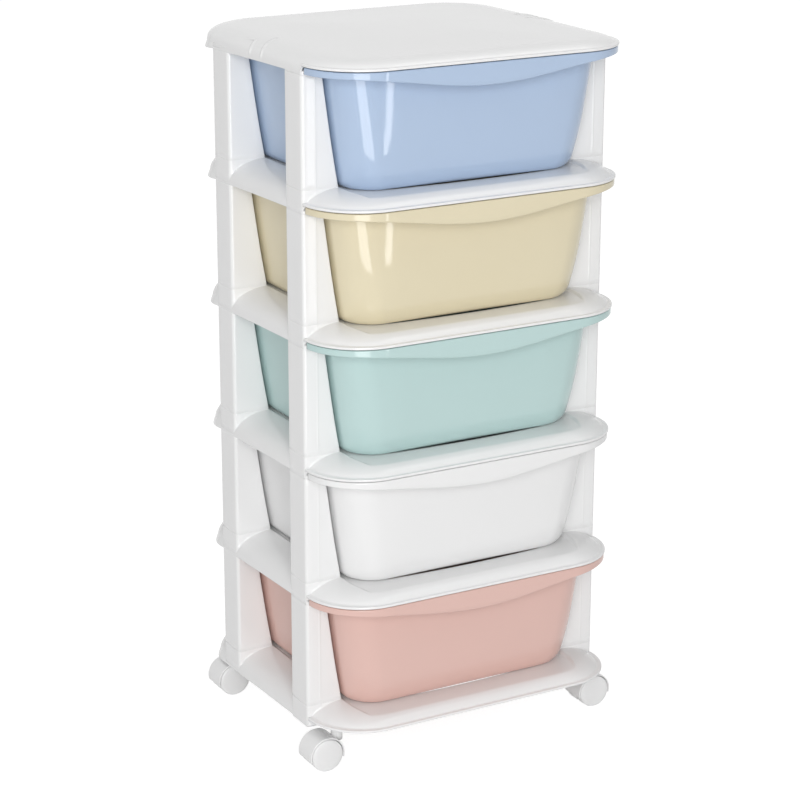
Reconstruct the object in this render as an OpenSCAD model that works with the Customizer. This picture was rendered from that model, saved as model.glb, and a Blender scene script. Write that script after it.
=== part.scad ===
// Rolling tower of five plastic drawers in a stacked frame.
// Origin: on the ground at the middle of the plan. +X right, +Y back, +Z up. Millimetres.

/* [Tower] */
// Width over the outer faces of the posts
frame_w = 400; // [370:1:430]
// Depth over the front and rear lips
frame_d = 372; // [364:1:400]
// Height from one shelf to the next
tier_pitch = 155; // [145:1:190]
// Wall of the moulded frames and posts
wall = 2.5; // [2:0.1:3]

/* [Frames] */
// Plan radius of the corners of the lips
lip_r = 70; // [62:1:76]
// Plan radius of the crest above those corners
crest_r = 45; // [40:1:50]
// Run of the front lip from its edge to the crest
front_run = 33; // [30:0.5:36]
// Height of a shelf's crest above its foot level
crest_h = 17; // [16:0.1:19]
// Height of the top panel's shoulder above its foot level
top_crest_h = 11.5; // [10:0.1:14]
// Rise of the top panel from its shoulder to its middle
top_crown = 2; // [1:0.1:4]
// Height of the flat floor that a drawer slides on
floor_h = 14; // [12:0.1:14.5]
// Height of the lower edge of the front and rear lips
lip_edge_h = 2; // [1:0.1:3]
// Thickness of the narrow flange along the front lip
lip_flange_h = 2; // [1.5:0.1:2.5]
// Drop of the side skirts below the foot level
apron_drop = 9; // [7:0.5:11]
// Drop of the rear skirt below the foot level
rear_drop = 15; // [12:0.5:16]
// Width of the ledge under each side of a drawer
ledge_w = 18; // [14:0.5:22]
// Distance that the floor's opening reaches past a drawer's bottom
peek = 2; // [1:0.1:3]
// Bow of the opening's front and rear edges
opening_bow = 6; // [4:0.5:8]
// Plan radius of the opening's corners
opening_r = 24; // [18:1:30]
// Depth of the rim around the opening
rim_drop = 9; // [7:0.5:10]

/* [Posts] */
// Depth of a post from front to rear
post_d = 42; // [38:0.5:46]
// Distance from the edge of the lips to the faces of the posts
post_setback = 73; // [71:0.5:80]
// Width of a post at the height of a drawer's bottom
post_w_low = 47; // [44:0.5:50]
// Width of a post where it bends
post_w_bend = 38.5; // [36:0.5:41]
// Width of a post at the height of a drawer's rim
post_w_rim = 25; // [23:0.5:28]
// Radius of a post's outer upright edges
post_edge_r = 4; // [3:0.1:5]
// Rise of the moulded post feet above a shelf's crest
foot_rise = 0.5; // [0.5:0.1:3]
// Length of the tongues that plug into a post
tongue_l = 12; // [8:0.5:16]
// Clearance of a tongue all around
tongue_gap = 0.3; // [0.2:0.05:0.5]
// Clearance between a post and the side of a drawer
post_gap = 4; // [3:0.1:5]

/* [Drawers] */
// Distance that a drawer's bottom stands back from the edge of the lips
drawer_back_low = 41; // [38:0.5:44]
// The same distance where the front of a drawer bends
drawer_back_bend = 32; // [30:0.5:34]
// The same distance at a drawer's rim
drawer_back_rim = 28; // [26:0.5:29.5]
// Height of the bend above the drawer's underside
drawer_bend_h = 46; // [40:1:52]
// Plan radius of a drawer's corners
drawer_r = 38; // [34:1:42]
// Size of the rounding along the bottom edge
drawer_edge = 9; // [7:0.5:11]
// Wall of a drawer
drawer_wall = 2; // [1.6:0.1:2.4]
// Clearance under a drawer
slide_gap = 0.3; // [0.2:0.05:0.5]
// Clearance beside a drawer's bottom
guide_gap = 1.5; // [1:0.1:2]
// Gap between a drawer's lip and the frame above
lip_gap = 2; // [1.5:0.1:3]
// Amount that a drawer's lip stands back from the frame's lip
lip_inset = 1; // [0.5:0.1:2]
// Height of the lip's skirt at both ends
lip_skirt = 7.5; // [6:0.5:10]
// Height of the skirt in the middle of the front, where it is the pull
lip_h = 25; // [20:0.5:30]
// Clearance between the ends of the lip and the posts
lip_post_gap = 5; // [3:0.5:7]

/* [Casters] */
// Diameter of a wheel
wheel_d = 40; // [36:1:44]
// Width of one wheel
wheel_w = 15; // [13:0.5:17]
// Width of the web between the two wheels
web_w = 4; // [3:0.1:5]
// Running gap beside a wheel
wheel_side_gap = 0.4; // [0.3:0.05:0.6]
// Gap between a wheel's tread and the hood
hood_gap = 0.8; // [0.6:0.1:1.2]
// Wall of the hood
hood_wall = 1.7; // [1.4:0.1:2]
// Drop of the hood's ends below the axle
hood_drop = 5; // [3:0.5:7]
// Distance from the swivel axis to the axle
trail = 20; // [18:0.5:22]
// Diameter of the axle
axle_d = 5; // [4:0.5:6]
// Diameter of the stem
stem_d = 8; // [7:0.5:9]
// Diameter of the boss that turns about the stem
neck_d = 14; // [13:0.5:16]
// Running clearance on the axle and the stem, on the radius
run_gap = 0.06; // [0.04:0.01:0.08]
// Gap between the top of a hood and the level of the base's side skirts
hood_top_gap = 5.5; // [4:0.5:8]
// Thickness of the stem's collar
collar_h = 1.5; // [1:0.1:2]
// Gap between the stem's collar and the neck
collar_gap = 0.3; // [0.2:0.05:0.5]
// Distance from a stem to the side of the tower
stem_inset_x = 32; // [28:1:36]
// Distance from a stem to the front or rear post face
stem_inset_y = 12; // [11:0.5:16]

/* [Hidden] */
$fn = 48;
HULL_FN = 32; // sides of the round corners inside hulls
PLATE = 0.01; // thickness of the plates that hulls are drawn over
SHELF_FULLNESS = 0.93; // power of a shelf's side section: 1 is an ellipse, less is fuller
TOP_FULLNESS = 0.8; // the same for the top panel
TIERS = 5;
DRAWER_NAMES = ["pink", "white", "teal", "yellow", "blue"]; // from the lowest tier up
DRAWER_COLOURS = [[0.88, 0.74, 0.71], [0.93, 0.93, 0.93], [0.75, 0.86, 0.85], [0.89, 0.85, 0.72], [0.71, 0.78, 0.89]];
FRAME_COLOUR = [0.93, 0.93, 0.93];
STEEL_COLOUR = [0.62, 0.63, 0.65];
// Each corner's name, its side (-1 left) and its end (-1 front)
CORNERS = [["front_left", -1, -1], ["front_right", 1, -1], ["rear_left", -1, 1], ["rear_right", 1, 1]];
// Each wheel's place on its axle
WHEEL_ENDS = [["front", -1], ["rear", 1]];
WHEEL_PROUD = 1; // how far the wheels stand out of the hood
NECK_LOW = 0.6; // height of the neck's foot above the axle, in wheel radii
STEM_FLOOR = 4; // material of the neck below the stem
STEM_GRIP = 18; // length of the stem in the base's boss
AXLE_FLOOR = 3; // material between the end of the axle and a wheel's face
AXLE_PLAY = 0.5; // play at each end of the axle
HUB_WALL = 3; // material of the hood's web around the axle
TREAD_EDGE = 1.5; // rounding of a wheel's edges
STEM_PLAY = 0.5; // space past each end of the stem
JOIN = 0.2; // overlap where a cap or boss meets the dome
OVER = 1; // how far a cut runs past the face that it opens
MIN_R = 0.5; // smallest radius of a post's inner upright edges
SKIRT_TAIL = 14; // width at each end of the lip where the skirt has its end height
SKIRT_STEPS = 20; // straight stretches of the skirt's bowed lower line

wheel_r = wheel_d / 2;
hood_r = wheel_r + hood_gap + hood_wall;
base_h = wheel_r + hood_r + hood_top_gap + apron_drop; // foot level of the lowest tier
drawer_z = floor_h + slide_gap; // underside of a drawer above its foot level
bend_z = drawer_z + drawer_bend_h;
rim_z = tier_pitch + lip_edge_h - lip_gap; // top of a drawer's rim and lip
channel_hx = drawer_hx(drawer_z) + guide_gap; // half width of the floor
side_run = frame_w / 2 - channel_hx - guide_gap; // run of the side domes
opening_hx = drawer_hx(drawer_z) - drawer_edge - ledge_w;
opening_hy = drawer_hy(drawer_z) + peek;
post_y1 = frame_d / 2 - post_setback;
post_y0 = post_y1 - post_d;
foot_h = crest_h + foot_rise; // seam between a frame's foot and its post
flank_hx = post_inner(foot_h) + wall; // where the hollow of the side domes begins
post_z0 = foot_h;
post_z1 = tier_pitch - apron_drop;
stem_x = frame_w / 2 - stem_inset_x;
stem_y = post_y1 + stem_inset_y;
hub_w = 2 * wheel_w + web_w + 2 * wheel_side_gap; // over both wheels
hood_w = hub_w - 2 * WHEEL_PROUD;
axle_hl = hub_w / 2 - AXLE_FLOOR - AXLE_PLAY; // half length of the axle
deck_w = 2 * wall + tongue_gap; // width of the deck around a tongue
neck_z1 = base_h - apron_drop - collar_h - collar_gap; // top of the neck
neck_z0 = wheel_r + NECK_LOW * wheel_r; // where the neck meets the hood
stem_z0 = neck_z0 + STEM_FLOOR;

CASTER_PARTS = ["stem", "hood", "axle"];

// ---- Shapes that repeat ----

function mix(a, b, t) = a + (b - a) * t;

// Value at a height above the foot level, from its values at a drawer's bottom, bend and rim
function by_height(z, low, bend, rim) = z < bend_z
    ? mix(low, bend, (z - drawer_z) / (bend_z - drawer_z))
    : mix(bend, rim, (z - bend_z) / (rim_z - bend_z));

// Distance of a post's inner face from the tower's middle
function post_inner(z) = frame_w / 2 - by_height(z, post_w_low, post_w_bend, post_w_rim);

// Half width and half depth of a drawer
function drawer_hx(z) = post_inner(z) - post_gap;
function drawer_hy(z) = frame_d / 2 - by_height(z, drawer_back_low, drawer_back_bend, drawer_back_rim);

// Rounded rectangle in plan, with true arcs at its corners.
module plan(hx, hy, r) {
    square([2 * hx, 2 * (hy - r)], center = true);
    square([2 * (hx - r), 2 * hy], center = true);
    for (x = [-1, 1], y = [-1, 1])
        translate([x * (hx - r), y * (hy - r)])
            circle(r);
}

// The four round corners of the same outline, for use inside a hull.
module plate(z, hx, hy, r, h = PLATE) {
    for (x = [-1, 1], y = [-1, 1])
        translate([x * (hx - r), y * (hy - r), z])
            cylinder(r = r, h = h, $fn = HULL_FN);
}

// Puts what is drawn in the +X, +Y corner into another corner.
module at_corner(side, end) {
    flip_x = side < 0 ? 1 : 0;
    flip_y = end < 0 ? 1 : 0;
    mirror([flip_x, 0, 0])
        mirror([0, flip_y, 0])
            children();
}

// Raises what is drawn for one tier to that tier's foot level.
module at_tier(tier) {
    translate([0, 0, base_h + (tier - 1) * tier_pitch])
        children();
}

// ---- Frames and top panel ----

// Domed body of a frame: round shoulders from the skirts up to the crest.
// shrink draws the hollow below it, one wall smaller all around.
module pillow(crest, fullness, crown = 0, shrink = 0) {
    hull() {
        plate(-rear_drop - OVER - shrink, frame_w / 2 - shrink, frame_d / 2 - shrink, lip_r - shrink);
        for (angle = [0:18:90]) {
            inward = 1 - pow(cos(angle), fullness);
            hx = frame_w / 2 - side_run * inward - shrink;
            hy = frame_d / 2 - front_run * inward - shrink;
            z = mix(-apron_drop, crest - PLATE, pow(sin(angle), fullness)) - shrink;
            plate(z, hx, hy, mix(lip_r, crest_r, inward) - shrink);
        }
        if (crown > 0)
            plate(crest + crown - shrink - PLATE, frame_w / 5, frame_d / 5, crest_r);
    }
}

// Opening in the floor, with straight sides and bowed front and rear edges.
module opening_plan(grow = 0) {
    bow_r = (pow(opening_hx, 2) + pow(opening_bow, 2)) / (2 * opening_bow);
    intersection() {
        plan(opening_hx + grow, opening_hy + grow, opening_r + grow);
        translate([0, bow_r - opening_hy])
            circle(bow_r + grow, $fn = 360);
        translate([0, opening_hy - bow_r])
            circle(bow_r + grow, $fn = 360);
    }
}

// Solid with the outline of a post between two levels, shrunk on every upright face.
module post_block(z0, z1, shrink = 0) {
    r = max(post_edge_r - shrink, MIN_R);
    outer = frame_w / 2 - shrink;
    y0 = post_y0 + shrink;
    y1 = post_y1 - shrink;
    bend = z0 < bend_z && z1 > bend_z ? [[post_inner(bend_z) + shrink, bend_z]] : [];
    low_end = [[post_inner(z0) + shrink, z0], [outer, z0]];
    high_end = [[outer, z1], [post_inner(z1) + shrink, z1]];
    intersection() {
        translate([0, y1, 0])
            rotate([90, 0, 0])
                linear_extrude(y1 - y0)
                    polygon(concat(low_end, high_end, bend));
        translate([0, 0, z0])
            linear_extrude(z1 - z0) {
                translate([0, y0])
                    square([outer - r, y1 - y0]);
                translate([0, y0 + r])
                    square([outer, y1 - y0 - 2 * r]);
                for (y = [y0 + r, y1 - r])
                    translate([outer - r, y])
                        circle(r);
            }
    }
}

// Walls of a post's outline between two levels.
module post_shell(z0, z1, shrink = 0, thickness = wall) {
    difference() {
        post_block(z0, z1, shrink);
        post_block(z0 - OVER, z1 + OVER, shrink + thickness);
    }
}

// Tongue that plugs into the hollow of a post.
module tongue(z0, z1) {
    post_shell(z0, z1, wall + tongue_gap);
}

// Draws the same thing in all four corners.
module in_corners() {
    for (c = CORNERS)
        at_corner(c[1], c[2])
            children();
}

// Narrow flange around the front lip, out to the frame's full outline.
module lip_flange() {
    translate([0, 0, lip_edge_h - OVER])
        linear_extrude(OVER + lip_flange_h)
            intersection() {
                plan(frame_w / 2, frame_d / 2, lip_r);
                translate([-frame_w / 2, -frame_d / 2])
                    square([frame_w, frame_d / 2 - post_y1 + post_edge_r]);
            }
}

// Room below the lower edge: the front lip's edge, the side skirts and, by a ramp, the rear skirt.
module below_edges() {
    far = frame_d / 2 + OVER;
    low = -rear_drop - 2 * OVER;
    rotate([90, 0, 90])
        translate([0, 0, -frame_w / 2 - OVER])
            linear_extrude(frame_w + 2 * OVER)
                polygon([
                    [-far, low], [-far, lip_edge_h], [-post_y1, lip_edge_h], [-post_y1, -apron_drop],
                    [post_y1, -apron_drop], [post_y1 + lip_r / 2, -rear_drop], [far, -rear_drop], [far, low]
                ]);
}

// Caps that sit on the four posts of the tier below: walls, a deck and a tongue each.
module post_caps() {
    translate([0, 0, -tier_pitch])
        in_corners() {
            post_shell(post_z1, tier_pitch + lip_edge_h + JOIN);
            post_shell(post_z1, post_z1 + wall, 0, deck_w);
            tongue(post_z1 - tongue_l, post_z1 + wall);
        }
}

// Boss that holds a caster's stem, from the lowest edge up to a height.
module stem_boss(top) {
    translate([stem_x, stem_y, -apron_drop])
        cylinder(d = neck_d, h = top + apron_drop);
}

// Lower end of the walls under a foot: down to the skirts where no cap takes their place.
function foot_low(lowest) = lowest ? -apron_drop : lip_edge_h;

// Hollow below a shelf's skin, less the walls that stand in it.
module shelf_hollow(lowest) {
    difference() {
        pillow(crest_h, SHELF_FULLNESS, shrink = wall);
        translate([-flank_hx, -frame_d / 2, floor_h - wall])
            cube([2 * flank_hx, frame_d, crest_h]);
        translate([0, 0, floor_h - rim_drop])
            linear_extrude(rim_drop)
                opening_plan(wall);
        in_corners() {
            post_block(foot_low(lowest), foot_h);
            if (lowest)
                stem_boss(crest_h);
        }
    }
}

// Shelf: a domed ring with a flat floor for the drawer above and feet for four posts.
// The lowest one carries the casters, and the others cap the posts below.
module shelf(lowest = false) {
    color(FRAME_COLOUR) {
        difference() {
            union() {
                pillow(crest_h, SHELF_FULLNESS);
                lip_flange();
                in_corners() {
                    post_block(foot_low(lowest), foot_h);
                    if (lowest)
                        stem_boss(lip_edge_h + JOIN);
                }
            }
            shelf_hollow(lowest);
            below_edges();
            translate([-channel_hx, -frame_d / 2, floor_h])
                cube([2 * channel_hx, frame_d, crest_h]);
            translate([0, 0, -apron_drop - OVER])
                linear_extrude(crest_h + apron_drop + 2 * OVER)
                    opening_plan();
            in_corners() {
                post_block(foot_low(lowest) - OVER, foot_h - wall, wall);
                post_block(foot_low(lowest) - OVER, foot_h + OVER, deck_w);
                if (lowest)
                    translate([stem_x, stem_y, -apron_drop - OVER])
                        cylinder(d = stem_d, h = STEM_GRIP + OVER);
            }
        }
        in_corners()
            tongue(foot_h - wall, foot_h + tongue_l);
        if (!lowest)
            post_caps();
    }
}

// Closed cover on the posts of the highest tier.
module top_cover() {
    color(FRAME_COLOUR) {
        difference() {
            union() {
                pillow(top_crest_h, TOP_FULLNESS, top_crown);
                lip_flange();
            }
            below_edges();
            difference() {
                pillow(top_crest_h, TOP_FULLNESS, top_crown, wall);
                translate([0, 0, -tier_pitch])
                    in_corners()
                        post_shell(tier_pitch + lip_edge_h, tier_pitch + top_crest_h);
            }
        }
        post_caps();
    }
}

// ---- Posts ----

module post() {
    color(FRAME_COLOUR)
        post_shell(post_z0, post_z1);
}

// ---- Drawers ----

// Tapered tub with a rounded bottom edge. shrink draws its inside.
module tub(shrink = 0) {
    hull() {
        for (angle = [0:30:90]) {
            z = drawer_z + shrink + drawer_edge * (1 - cos(angle));
            inset = drawer_edge * (1 - sin(angle)) + shrink;
            plate(z, drawer_hx(z) - inset, drawer_hy(z) - inset, drawer_r - inset);
        }
        plate(bend_z, drawer_hx(bend_z) - shrink, drawer_hy(bend_z) - shrink, drawer_r - shrink);
        top = shrink > 0 ? rim_z + OVER : rim_z;
        plate(top - PLATE, drawer_hx(top) - shrink, drawer_hy(top) - shrink, drawer_r - shrink);
    }
}

// Lower line of the lip's skirt: bowed down in the middle.
function skirt_low(x) = let (span = frame_w / 2 - lip_inset - SKIRT_TAIL)
    rim_z - mix(lip_skirt, lip_h, pow(cos(90 * min(abs(x) / span, 1)), 2));

// Turned-down lip along the front, out to the frame's own outline: a flat rim and a skirt,
// whose deeper middle is the pull.
module lip() {
    hx = frame_w / 2 - lip_inset;
    hy = frame_d / 2 - lip_inset;
    r = lip_r - lip_inset;
    side = hx + OVER;
    step = 2 * side / SKIRT_STEPS;
    intersection() {
        union() {
            translate([0, 0, rim_z - drawer_wall])
                linear_extrude(drawer_wall)
                    plan(hx, hy, r);
            translate([0, 0, rim_z - lip_h - OVER])
                linear_extrude(lip_h + OVER)
                    difference() {
                        plan(hx, hy, r);
                        plan(hx - drawer_wall, hy - drawer_wall, r - drawer_wall);
                    }
        }
        rotate([90, 0, 0])
            translate([0, 0, post_y1 + lip_post_gap])
                linear_extrude(frame_d)
                    polygon(concat(
                        [for (k = [0:SKIRT_STEPS]) [k * step - side, skirt_low(k * step - side)]],
                        [[side, rim_z + OVER], [-side, rim_z + OVER]]
                    ));
    }
}

module drawer(colour) {
    color(colour)
        difference() {
            union() {
                tub();
                lip();
            }
            tub(drawer_wall);
        }
}

// ---- Casters ----

// Places what is drawn about the swivel axis of a corner's caster, wheels on the outer side.
module at_stem(c) {
    at_corner(c[1], c[2])
        translate([stem_x, stem_y, 0])
            children();
}

// Bar along Y about the axle, between two distances from the caster's middle.
module axle_bar(r, y0, y1) {
    translate([trail, y0, wheel_r])
        rotate([-90, 0, 0])
            cylinder(r = r, h = y1 - y0);
}

// Steel pin held in the base's boss, with a collar above the hood's neck.
module caster_stem() {
    collar_z = neck_z1 + collar_gap;
    color(STEEL_COLOUR) {
        translate([0, 0, stem_z0])
            cylinder(d = stem_d, h = collar_z + collar_h + STEM_GRIP - STEM_PLAY - stem_z0);
        translate([0, 0, collar_z])
            cylinder(d = neck_d, h = collar_h);
    }
}

// Hood over both wheels, with a web between them and a neck about the stem.
module caster_hood() {
    inner_r = wheel_r + hood_gap;
    color(FRAME_COLOUR)
        difference() {
            union() {
                difference() {
                    axle_bar(hood_r, -hood_w / 2, hood_w / 2);
                    translate([trail - hood_r - OVER, -hood_w / 2 - OVER, wheel_r - hood_drop - hood_r])
                        cube([2 * (hood_r + OVER), hood_w + 2 * OVER, hood_r]);
                }
                axle_bar(axle_d / 2 + HUB_WALL, -web_w / 2, web_w / 2);
                translate([0, 0, neck_z0])
                    cylinder(d = neck_d, h = neck_z1 - neck_z0);
            }
            for (side = [-1, 1])
                wheel_space(side, inner_r);
            axle_bar(axle_d / 2, -hood_w, hood_w);
            translate([0, 0, stem_z0 - STEM_PLAY])
                cylinder(r = stem_d / 2 + run_gap, h = neck_z1);
        }
}

// Room for one wheel beside the web, open at the hood's face.
module wheel_space(side, r) {
    near = side > 0 ? web_w / 2 : -hood_w;
    far = side > 0 ? hood_w : -web_w / 2;
    axle_bar(r, near, far);
}

// Steel pin through the web, with a wheel on each end.
module caster_axle() {
    color(STEEL_COLOUR)
        axle_bar(axle_d / 2, -axle_hl, axle_hl);
}

// Wheel with rounded tread edges and a blind bore for the axle.
module caster_wheel(w) {
    bore_l = wheel_w - AXLE_FLOOR;
    inner_y = web_w / 2 + wheel_side_gap;
    color(FRAME_COLOUR)
        rotate([w > 0 ? -90 : 90, 0, 0])
            translate([0, 0, inner_y])
                rotate_extrude($fn = 96)
                    difference() {
                        union() {
                            translate([0, TREAD_EDGE])
                                square([wheel_r, wheel_w - 2 * TREAD_EDGE]);
                            square([wheel_r - TREAD_EDGE, wheel_w]);
                            for (y = [TREAD_EDGE, wheel_w - TREAD_EDGE])
                                translate([wheel_r - TREAD_EDGE, y])
                                    circle(TREAD_EDGE);
                        }
                        translate([-wheel_r, -wheel_w])
                            square([wheel_r, 3 * wheel_w]);
                        translate([0, -OVER])
                            square([axle_d / 2 + run_gap, bore_l + OVER]);
                    }
}

// ---- Nodes ----

at_tier(1)  // base_frame
        shelf(lowest = true);
at_tier(TIERS + 1)  // top_panel
        top_cover();
for (tier = [1:TIERS - 1])
    at_tier(tier + 1)
            shelf();
for (tier = [1:TIERS])
    at_tier(tier)
            drawer(DRAWER_COLOURS[tier - 1]);
for (tier = [1:TIERS], c = CORNERS)
    at_tier(tier)
            at_corner(c[1], c[2])
                post();
for (c = CORNERS) {
    at_stem(c)
            caster_stem();
    at_stem(c)
            caster_hood();
    at_stem(c)
            caster_axle();
}
for (c = CORNERS, w = WHEEL_ENDS)
    translate([c[1] * (stem_x + trail), c[2] * stem_y, wheel_r])
            caster_wheel(w[1]);
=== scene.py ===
"""Looks of a rolling tower of five plastic drawers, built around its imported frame.

Lengths are in millimetres until a mesh is made. +X is right, +Y back and +Z up. The heights of a
frame, post or drawer are counted from the foot of its tier.
"""

import logging
import math
from dataclasses import dataclass
from enum import Enum

import bpy
import numpy as np
from mathutils import Euler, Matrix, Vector


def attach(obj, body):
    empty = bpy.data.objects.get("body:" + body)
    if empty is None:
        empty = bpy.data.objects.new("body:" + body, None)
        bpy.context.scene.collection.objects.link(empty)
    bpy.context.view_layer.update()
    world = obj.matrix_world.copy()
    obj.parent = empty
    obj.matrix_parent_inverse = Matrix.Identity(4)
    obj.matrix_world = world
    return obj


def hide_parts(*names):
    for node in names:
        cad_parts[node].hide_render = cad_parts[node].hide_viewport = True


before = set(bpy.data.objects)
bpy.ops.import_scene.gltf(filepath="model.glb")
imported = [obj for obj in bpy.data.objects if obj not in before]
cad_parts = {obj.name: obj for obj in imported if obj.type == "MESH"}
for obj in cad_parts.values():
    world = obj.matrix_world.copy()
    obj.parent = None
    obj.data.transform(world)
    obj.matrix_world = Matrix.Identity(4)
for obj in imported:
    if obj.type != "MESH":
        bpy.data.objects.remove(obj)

Amount = np.ndarray | float
Triple = tuple[float, float, float]
Pair = tuple[float, float]
Rows = tuple[Pair, ...]
Tree = bpy.types.NodeTree

LOG = logging.getLogger("tower")
MM = 0.001
TIERS = 5
TIER_PITCH = 155.0
BASE_FOOT = 57.0
STEM_AT = (168.0, 125.0)
TOWER_BODY = "tower"
CORNERS = {
    "front_left": (-1, -1), "front_right": (1, -1), "rear_left": (-1, 1), "rear_right": (1, 1)}
TINY = 1e-9
QUARTER_TURN = math.pi / 2
FULL_TURN = 2 * math.pi


def foot_level(tier: int) -> float:
    """Returns the foot level of a tier, counted from 1 at the base; the top panel's is 6."""
    return BASE_FOOT + (tier - 1) * TIER_PITCH


# ---- Shapes on grids ----


def mix(a: Amount, b: Amount, t: Amount) -> Amount:
    """Returns the value that lies a share t of the way from a to b: a + (b - a) t."""
    return a + (b - a) * t


def soft_rise(d: np.ndarray, k: float) -> np.ndarray:
    """Returns a ramp that is 0 below zero and d above it, rounded over k: k ln(1 + exp(d / k))."""
    return k * np.logaddexp(0.0, d / k)


def soft_lower(a: np.ndarray, b: Amount, k: float) -> np.ndarray:
    """Returns the lower of two heights, rounded over k: -k ln(exp(-a / k) + exp(-b / k))."""
    return -k * np.logaddexp(-a / k, -b / k)


def ease(t: np.ndarray) -> np.ndarray:
    """Returns the smooth step 3 t^2 - 2 t^3 of t held between 0 and 1."""
    t = np.clip(t, 0.0, 1.0)
    return t * t * (3 - 2 * t)


def ramp(v: np.ndarray, start: Amount, length: float) -> np.ndarray:
    """Returns a smooth step of v, which rises from 0 at the start to 1 a length further on."""
    return ease((v - start) / length)


def column(*values: float) -> np.ndarray:
    """Returns values as the rows of one column."""
    return np.array(values)[:, None]


def grid_of(x: Amount, y: Amount, z: Amount) -> np.ndarray:
    """Returns points by row, column and axis from coordinates that fit one another's shape."""
    return np.stack(np.broadcast_arrays(x, y, z), -1)


def upright(loop: np.ndarray, z: np.ndarray) -> np.ndarray:
    """Returns plan loops as points at heights, which are given by row or by row and column."""
    return grid_of(loop[..., 0], loop[..., 1], z.reshape(len(z), -1))


def lathe(r: np.ndarray, z: np.ndarray, centre: Pair, steps: int = 48) -> np.ndarray:
    """Turns a profile about an upright line: x = cx + r cos a and y = cy + r sin a.

    Args:
        r: Radii along the profile.
        z: Heights along the profile.
        centre: Where the line stands.
        steps: Columns around it.
    Returns:
        Points by row, column and axis.
    """
    a = np.linspace(0, FULL_TURN, steps + 1)[:-1]
    r = r[:, None]
    return grid_of(centre[0] + r * np.cos(a), centre[1] + r * np.sin(a), z[:, None])


@dataclass(frozen=True)
class Outline:
    """Columns around a rounded rectangle.

    A column is at s (h - r) + r d, where s is its place between the corners' centres and d its
    outward normal, so one set of columns fits every size and radius.
    """

    sx: np.ndarray
    sy: np.ndarray
    dx: np.ndarray
    dy: np.ndarray

    @classmethod
    def around(cls, arc: int, along_x: np.ndarray, along_y: np.ndarray) -> "Outline":
        """Makes the columns, counter-clockwise from the front end of the right side.

        Args:
            arc: Number of steps around each corner.
            along_x: Places between -1 and 1 along the front and rear.
            along_y: Places between -1 and 1 along the sides.
        Returns:
            The outline.
        """
        quarter = np.linspace(0, QUARTER_TURN, arc + 1)
        parts = [np.stack([1 + 0 * along_y, along_y, 1 + 0 * along_y, 0 * along_y])]
        straights = [(-along_x, 1, 0, 1), (-1, -along_y, -1, 0), (along_x, -1, 0, -1), None]
        for k, (x, y) in enumerate(((1, 1), (-1, 1), (-1, -1), (1, -1))):
            a = quarter + k * QUARTER_TURN
            parts.append(np.stack([x + 0 * a, y + 0 * a, np.cos(a), np.sin(a)]))
            if straights[k]:
                parts.append(np.stack(np.broadcast_arrays(*straights[k])).astype(float))
        return cls(*np.concatenate(parts, axis=1))

    def at(self, hx: Amount, hy: Amount, r: Amount) -> tuple[np.ndarray, np.ndarray]:
        """Returns x and y of every column for rows of half widths, half depths and radii."""
        hx, hy, r = (np.asarray(v, float).reshape(-1, 1) for v in (hx, hy, r))
        return self.sx * (hx - r) + self.dx * r, self.sy * (hy - r) + self.dy * r


@dataclass
class Skin:
    """Points and faces of one closed surface, with its faces outwards."""

    points: np.ndarray
    faces: list[tuple[int, ...]]

    @classmethod
    def from_grid(cls, grid: np.ndarray, ring: bool = False) -> "Skin":
        """Closes a grid of rows and columns into a skin.

        Args:
            grid: Points, by row, column and axis; the last column joins the first.
            ring: True where the last row joins the first, as on a ring. Otherwise both end
                rows are closed with a flat face.
        Returns:
            The skin, turned so that its volume, the sum of the faces' wedges, is positive.
        """
        rows, cols = grid.shape[:2]
        index = np.arange(rows * cols).reshape(rows, cols)
        low = index if ring else index[:-1]
        high = np.roll(index, -1, 0) if ring else index[1:]
        quads = np.stack([low, np.roll(low, -1, 1), np.roll(high, -1, 1), high], -1).reshape(-1, 4)
        points = grid.reshape(-1, 3)
        a, b, c, d = (points[quads[:, k]] for k in range(4))
        volume = np.einsum("ij,ij->", a, np.cross(b, c) + np.cross(c, d))
        caps = [] if ring else [index[0, ::-1], index[-1]]
        for cap in caps:
            p = points[cap]
            wedges = np.cross(p[1:-1], p[2:])
            volume += np.einsum("ij,ij->", np.broadcast_to(p[0], wedges.shape), wedges)
        faces = [tuple(q) for q in quads.tolist()] + [tuple(c.tolist()) for c in caps]
        if volume < 0:
            faces = [f[::-1] for f in faces]
        return cls(points, faces)

    def mirrored(self, x: int, y: int) -> "Skin":
        """Returns the skin in another corner, with its faces still outwards."""
        points = self.points * (x, y, 1)
        return Skin(points, self.faces if x * y > 0 else [f[::-1] for f in self.faces])

    def moved(self, offset: Triple) -> "Skin":
        """Returns the skin moved by an offset."""
        return Skin(self.points + np.asarray(offset), self.faces)


def thicken(grid: np.ndarray, normal: np.ndarray, wall: float, steps: int = 4) -> np.ndarray:
    """Gives a sheet its wall, with a half-round edge after its last row.

    The inner rows are the outer ones moved back by the wall along the normals, and the edge is a
    half circle about the middle of the wall.

    Args:
        grid: Outer points, by row, column and axis.
        normal: Unit normals of the same shape.
        wall: Thickness.
        steps: Points on the half circle.
    Returns:
        Rows out along the outer side and back along the inner side.
    """
    inner = grid - wall * normal
    run = grid[-1] - grid[-2]
    run -= normal[-1] * np.einsum("ij,ij->i", run, normal[-1])[:, None]
    run /= np.maximum(np.linalg.norm(run, axis=1), TINY)[:, None]
    turn = np.linspace(0, math.pi, steps + 2)[1:-1, None, None]
    middle = (grid[-1] + inner[-1]) / 2
    edge = middle + wall / 2 * (np.cos(turn) * normal[-1] + np.sin(turn) * run)
    return np.concatenate([grid, edge, inner[::-1]])


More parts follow.
